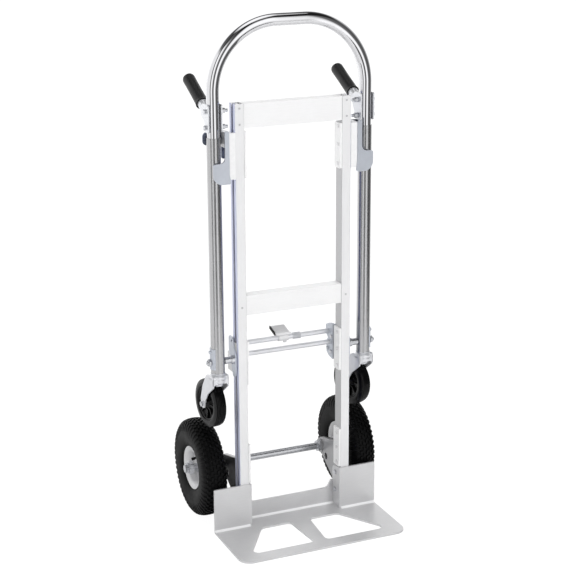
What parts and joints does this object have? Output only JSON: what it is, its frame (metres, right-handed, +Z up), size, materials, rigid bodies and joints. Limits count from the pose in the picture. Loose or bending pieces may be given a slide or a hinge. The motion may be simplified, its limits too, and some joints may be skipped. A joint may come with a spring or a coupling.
{
  "type": "convertible hand truck",
  "caption": "Upright two-wheel hand truck with nose plate, whose wheeled handle frame slides up the rails and folds down to make a four-wheel platform truck.",
  "frame": {"origin": "on the ground, under the middle of the bounding box of the truck standing upright", "axes": "+Z up, +X to the right seen from the front, +Y back from the nose plate to the running wheels"},
  "size_m": [0.513, 0.467, 1.319],
  "materials": {
    "frame_aluminium": "satin extruded aluminium",
    "cast_aluminium": "brushed or cast aluminium",
    "blue_strip": "dark blue plastic glide strip",
    "white_pad": "bright plain aluminium",
    "zinc_plate": "zinc plated, slightly blue",
    "zinc_steel": "zinc plated steel",
    "dark_steel": "dull steel",
    "painted_rim": "light grey paint",
    "tyre_rubber": "black rubber",
    "nylon": "natural nylon",
    "satin_tube": "satin steel tube",
    "chrome_tube": "bright chrome",
    "grip_rubber": "black moulded rubber",
    "caster_black": "black hard rubber"
  },
  "bodies": {
    "main_frame": {"nose_plate": "cast_aluminium", "rail_left": "frame_aluminium", "rail_right": "frame_aluminium", "channel_strips": "blue_strip", "crossbar_top": "frame_aluminium", "crossbar_middle": "frame_aluminium", "rail_pads_left": "white_pad", "rail_pads_right": "white_pad", "hook_blocks": "white_pad", "hook_plates": "zinc_plate", "keeper_plates": "zinc_plate", "axle_bracket_left": "cast_aluminium", "axle_bracket_right": "cast_aluminium", "axle": "zinc_steel", "axle_nuts": "zinc_steel", "axle_spacers": "zinc_steel", "cotter_pins": "zinc_steel", "pad_bolts": "dark_steel", "frame_screws": "dark_steel", "nose_bolts": "zinc_steel", "hook_bolts": "zinc_steel"},
    "wheel_left": {"rim_left": "painted_rim", "tyre_left": "tyre_rubber", "inner_tube_left": "tyre_rubber", "wheel_bearings_left": "zinc_steel"},
    "wheel_right": {"rim_right": "painted_rim", "tyre_right": "tyre_rubber", "inner_tube_right": "tyre_rubber", "wheel_bearings_right": "zinc_steel"},
    "slide_carriage": {"slide_shoes": "nylon", "outer_slide_plates": "zinc_plate", "inner_slide_plates": "zinc_plate", "slide_blocks": "cast_aluminium", "tie_rod": "zinc_steel", "slide_bolts": "zinc_steel", "pivot_bolts": "zinc_steel", "pivot_bushes": "zinc_steel", "release_spring": "dark_steel"},
    "foot_release": {"release_rod": "zinc_steel", "pedal": "zinc_plate", "latch_dogs": "zinc_plate"},
    "handle_frame": {"lower_tube_left": "satin_tube", "lower_tube_right": "satin_tube", "loop_handle": "chrome_tube", "grip_bracket_left": "satin_tube", "grip_bracket_right": "satin_tube", "rubber_grip_left": "grip_rubber", "rubber_grip_right": "grip_rubber", "grip_bolts": "zinc_steel", "tube_saddles": "zinc_plate", "caster_stems": "zinc_steel"},
    "caster_fork_left": {"caster_fork_left": "zinc_plate", "caster_axle_left": "zinc_steel"},
    "caster_fork_right": {"caster_fork_right": "zinc_plate", "caster_axle_right": "zinc_steel"},
    "caster_wheel_left": {"caster_core_left": "caster_black", "caster_tread_left": "caster_black"},
    "caster_wheel_right": {"caster_core_right": "caster_black", "caster_tread_right": "caster_black"}
  },
  "joints": [
    {"name": "carriage_slide", "type": "slide", "parent": "main_frame", "child": "slide_carriage", "axis": [0, 0, 1], "range_m": [0, 0.5273]},
    {"name": "frame_fold", "type": "hinge", "parent": "slide_carriage", "child": "handle_frame", "pos_m": [0, -0.0165, 0.4595], "axis": [1, 0, 0], "range_deg": [0, 90]},
    {"name": "pedal_press", "type": "hinge", "parent": "slide_carriage", "child": "foot_release", "pos_m": [0, 0.0315, 0.482], "axis": [-1, 0, 0], "range_deg": [0, 15], "stiffness_Nm_per_rad": 4, "springref_deg": -17.19},
    {"name": "caster_swivel_left", "type": "hinge", "parent": "handle_frame", "child": "caster_fork_left", "pos_m": [-0.2027, -0.0165, 0.4], "axis": [0, 0, 1], "range_deg": [-36, 203]},
    {"name": "caster_swivel_right", "type": "hinge", "parent": "handle_frame", "child": "caster_fork_right", "pos_m": [0.2027, -0.0165, 0.4], "axis": [0, 0, -1], "range_deg": [-18, 220]},
    {"name": "caster_spin_left", "type": "hinge", "parent": "caster_fork_left", "child": "caster_wheel_left", "pos_m": [-0.2074, 0.02825, 0.336], "axis": [0.9945, 0.1045, 0], "continuous": true},
    {"name": "caster_spin_right", "type": "hinge", "parent": "caster_fork_right", "child": "caster_wheel_right", "pos_m": [0.19334, 0.02752, 0.336], "axis": [0.9781, 0.2079, 0], "continuous": true},
    {"name": "wheel_spin_left", "type": "hinge", "parent": "main_frame", "child": "wheel_left", "pos_m": [-0.2125, 0.1035, 0.13], "axis": [1, 0, 0], "continuous": true},
    {"name": "wheel_spin_right", "type": "hinge", "parent": "main_frame", "child": "wheel_right", "pos_m": [0.2125, 0.1035, 0.13], "axis": [1, 0, 0], "continuous": true}
  ]
}
